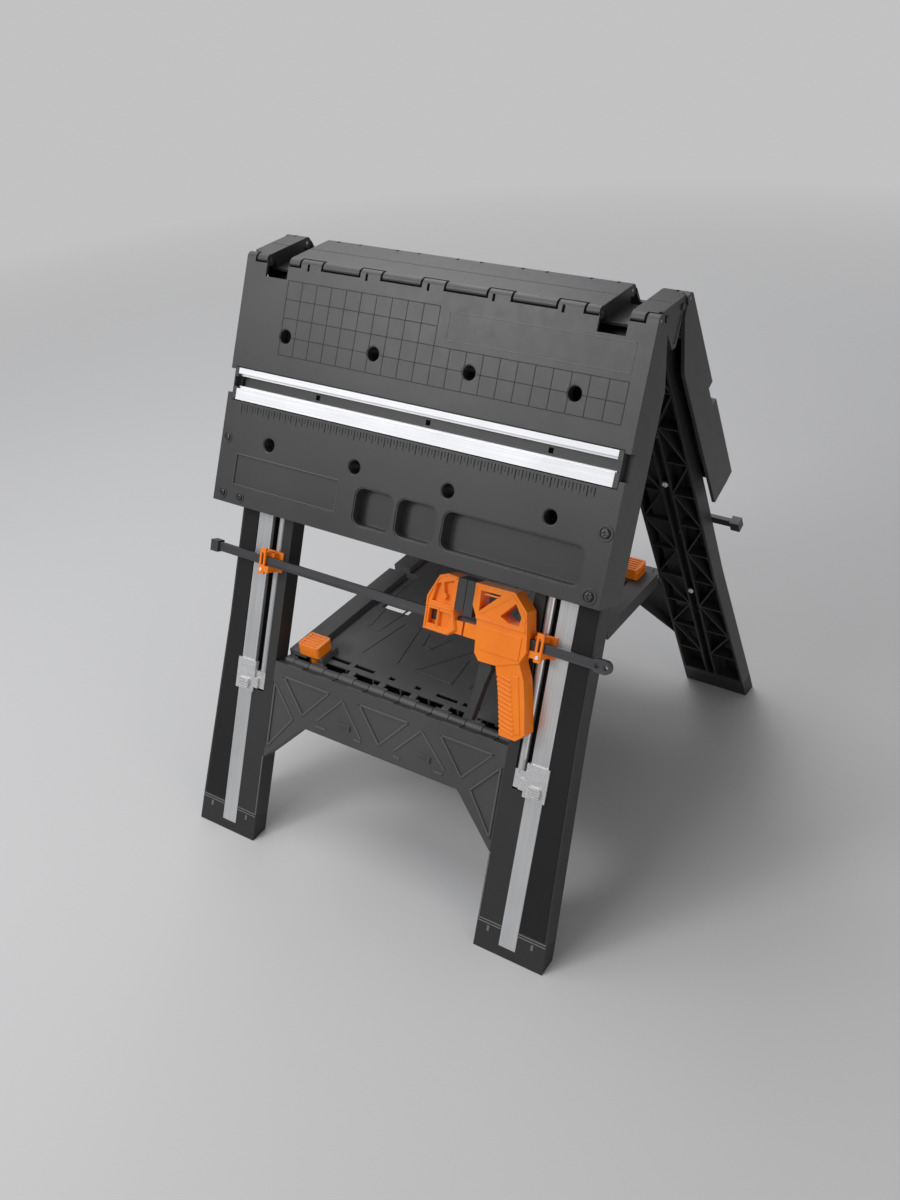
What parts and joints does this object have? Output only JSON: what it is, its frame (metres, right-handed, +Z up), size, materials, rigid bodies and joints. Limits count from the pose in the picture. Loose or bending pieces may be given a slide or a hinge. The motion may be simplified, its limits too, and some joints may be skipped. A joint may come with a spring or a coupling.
{
  "type": "folding workbench",
  "caption": "Folding workbench standing as a sawhorse: flat ridge, two hanging slotted table panels, splayed leg frames, folding shelf and bar clamps stored on the legs.",
  "frame": {"origin": "on the floor, under the middle of the ridge", "axes": "+Z up, +X along the ridge to the right, -Y towards the front panel"},
  "size_m": [0.672, 0.7228, 0.813],
  "materials": {
    "black_plastic": "fine grained, satin",
    "aluminium": "satin",
    "steel": "satin",
    "orange_plastic": "satin",
    "dark_steel": "satin, dark",
    "pad_rubber": "matt",
    "dark_plastic": "satin",
    "foot_plastic": "matt"
  },
  "bodies": {
    "ridge": {"ridge_beam": "black_plastic", "ridge_left_end_plate": "black_plastic", "ridge_right_end_plate": "black_plastic", "ridge_end_bolts": "steel", "front_panel_hinge_pins": "steel", "rear_panel_hinge_pins": "steel", "leg_pivot_pins": "steel"},
    "front_panel": {"front_panel": "black_plastic", "front_upper_rail": "aluminium", "front_lower_rail": "aluminium", "front_rail_clips": "black_plastic", "front_panel_screws": "steel"},
    "front_leg_frame": {"front_left_leg": "black_plastic", "front_right_leg": "black_plastic", "front_cross_panel": "black_plastic", "front_leg_tracks": "aluminium", "front_feet": "foot_plastic", "front_leg_screws": "steel", "front_shelf_pin": "steel", "front_bar_holders": "orange_plastic"},
    "front_shelf_half": {"front_shelf": "black_plastic"},
    "front_left_brace": {"front_left_brace": "aluminium", "front_left_latch": "aluminium"},
    "front_left_dog": {"front_left_dog": "orange_plastic"},
    "front_right_brace": {"front_right_brace": "aluminium", "front_right_latch": "aluminium"},
    "front_clamp": {"front_clamp_bar": "dark_steel", "front_clamp_handle": "orange_plastic", "front_clamp_pad": "pad_rubber"},
    "front_clamp_jaw": {"front_clamp_jaw": "orange_plastic", "front_clamp_jaw_pad": "pad_rubber"},
    "front_clamp_trigger": {"front_clamp_trigger": "dark_plastic"},
    "rear_panel": {"rear_panel": "black_plastic", "rear_upper_rail": "aluminium", "rear_lower_rail": "aluminium", "rear_rail_clips": "black_plastic", "rear_panel_screws": "steel"},
    "rear_leg_frame": {"rear_left_leg": "black_plastic", "rear_right_leg": "black_plastic", "rear_cross_panel": "black_plastic", "rear_leg_tracks": "aluminium", "rear_feet": "foot_plastic", "rear_leg_screws": "steel", "rear_shelf_pin": "steel", "rear_bar_holders": "orange_plastic"},
    "rear_shelf_half": {"rear_shelf": "black_plastic"},
    "rear_left_brace": {"rear_left_brace": "aluminium", "rear_left_latch": "aluminium"},
    "rear_right_brace": {"rear_right_brace": "aluminium", "rear_right_latch": "aluminium"},
    "rear_right_dog": {"rear_right_dog": "orange_plastic"},
    "rear_clamp": {"rear_clamp_bar": "dark_steel", "rear_clamp_handle": "orange_plastic", "rear_clamp_pad": "pad_rubber"},
    "rear_clamp_jaw": {"rear_clamp_jaw": "orange_plastic", "rear_clamp_jaw_pad": "pad_rubber"},
    "rear_clamp_trigger": {"rear_clamp_trigger": "dark_plastic"}
  },
  "joints": [
    {"name": "front_panel_hinge", "type": "hinge", "parent": "ridge", "child": "front_panel", "pos_m": [0, -0.04, 0.805], "axis": [-1, 0, 0], "range_deg": [0, 64]},
    {"name": "rear_panel_hinge", "type": "hinge", "parent": "ridge", "child": "rear_panel", "pos_m": [0, 0.04, 0.805], "axis": [1, 0, 0], "range_deg": [0, 64]},
    {"name": "front_leg_fold", "type": "hinge", "parent": "ridge", "child": "front_leg_frame", "pos_m": [0, -0.014, 0.765], "axis": [1, 0, 0], "range_deg": [0, 17]},
    {"name": "rear_leg_fold", "type": "hinge", "parent": "ridge", "child": "rear_leg_frame", "pos_m": [0, 0.014, 0.765], "axis": [-1, 0, 0], "range_deg": [0, 17]},
    {"name": "front_shelf_fold", "type": "hinge", "parent": "front_leg_frame", "child": "front_shelf_half", "pos_m": [0, -0.22508, 0.262], "axis": [1, 0, 0], "range_deg": [0, 56.1]},
    {"name": "rear_shelf_fold", "type": "hinge", "parent": "rear_leg_frame", "child": "rear_shelf_half", "pos_m": [0, 0.22508, 0.262], "axis": [-1, 0, 0], "range_deg": [0, 56.1]},
    {"name": "front_left_brace_slide", "type": "slide", "parent": "front_leg_frame", "child": "front_left_brace", "axis": [0, 0.3987, 0.9171], "range_m": [0, 0.12]},
    {"name": "rear_left_brace_slide", "type": "slide", "parent": "rear_leg_frame", "child": "rear_left_brace", "axis": [0, -0.3987, 0.9171], "range_m": [0, 0.12]},
    {"name": "front_right_brace_slide", "type": "slide", "parent": "front_leg_frame", "child": "front_right_brace", "axis": [0, 0.3987, 0.9171], "range_m": [0, 0.12]},
    {"name": "rear_right_brace_slide", "type": "slide", "parent": "rear_leg_frame", "child": "rear_right_brace", "axis": [0, -0.3987, 0.9171], "range_m": [0, 0.12]},
    {"name": "front_clamp_lift", "type": "slide", "parent": "front_leg_frame", "child": "front_clamp", "axis": [0, 0.3987, 0.9171], "range_m": [0, 0.025]},
    {"name": "rear_clamp_lift", "type": "slide", "parent": "rear_leg_frame", "child": "rear_clamp", "axis": [0, -0.3987, 0.9171], "range_m": [0, 0.025]},
    {"name": "front_jaw_slide", "type": "slide", "parent": "front_clamp", "child": "front_clamp_jaw", "axis": [-1, 0, 0], "range_m": [0, 0.24]},
    {"name": "rear_jaw_slide", "type": "slide", "parent": "rear_clamp", "child": "rear_clamp_jaw", "axis": [1, 0, 0], "range_m": [0, 0.24]},
    {"name": "front_trigger_pull", "type": "hinge", "parent": "front_clamp", "child": "front_clamp_trigger", "pos_m": [0.163, -0.21411, 0.37876], "axis": [0, -0.9171, 0.3987], "range_deg": [0, 18], "stiffness_Nm_per_rad": 0.4},
    {"name": "rear_trigger_pull", "type": "hinge", "parent": "rear_clamp", "child": "rear_clamp_trigger", "pos_m": [-0.163, 0.21411, 0.37876], "axis": [0, 0.9171, 0.3987], "range_deg": [0, 18], "stiffness_Nm_per_rad": 0.4},
    {"name": "front_left_dog_turn", "type": "hinge", "parent": "front_shelf_half", "child": "front_left_dog", "pos_m": [-0.158, -0.20308, 0.277], "axis": [0, 0, 1], "continuous": true},
    {"name": "rear_right_dog_turn", "type": "hinge", "parent": "rear_shelf_half", "child": "rear_right_dog", "pos_m": [0.158, 0.20308, 0.277], "axis": [0, 0, 1], "continuous": true}
  ],
  "couplings": [
    {"joint": "rear_leg_fold", "follows": "front_leg_fold", "ratio": 1},
    {"joint": "front_shelf_fold", "follows": "front_leg_fold", "ratio": 3.3},
    {"joint": "rear_shelf_fold", "follows": "front_leg_fold", "ratio": 3.3}
  ]
}
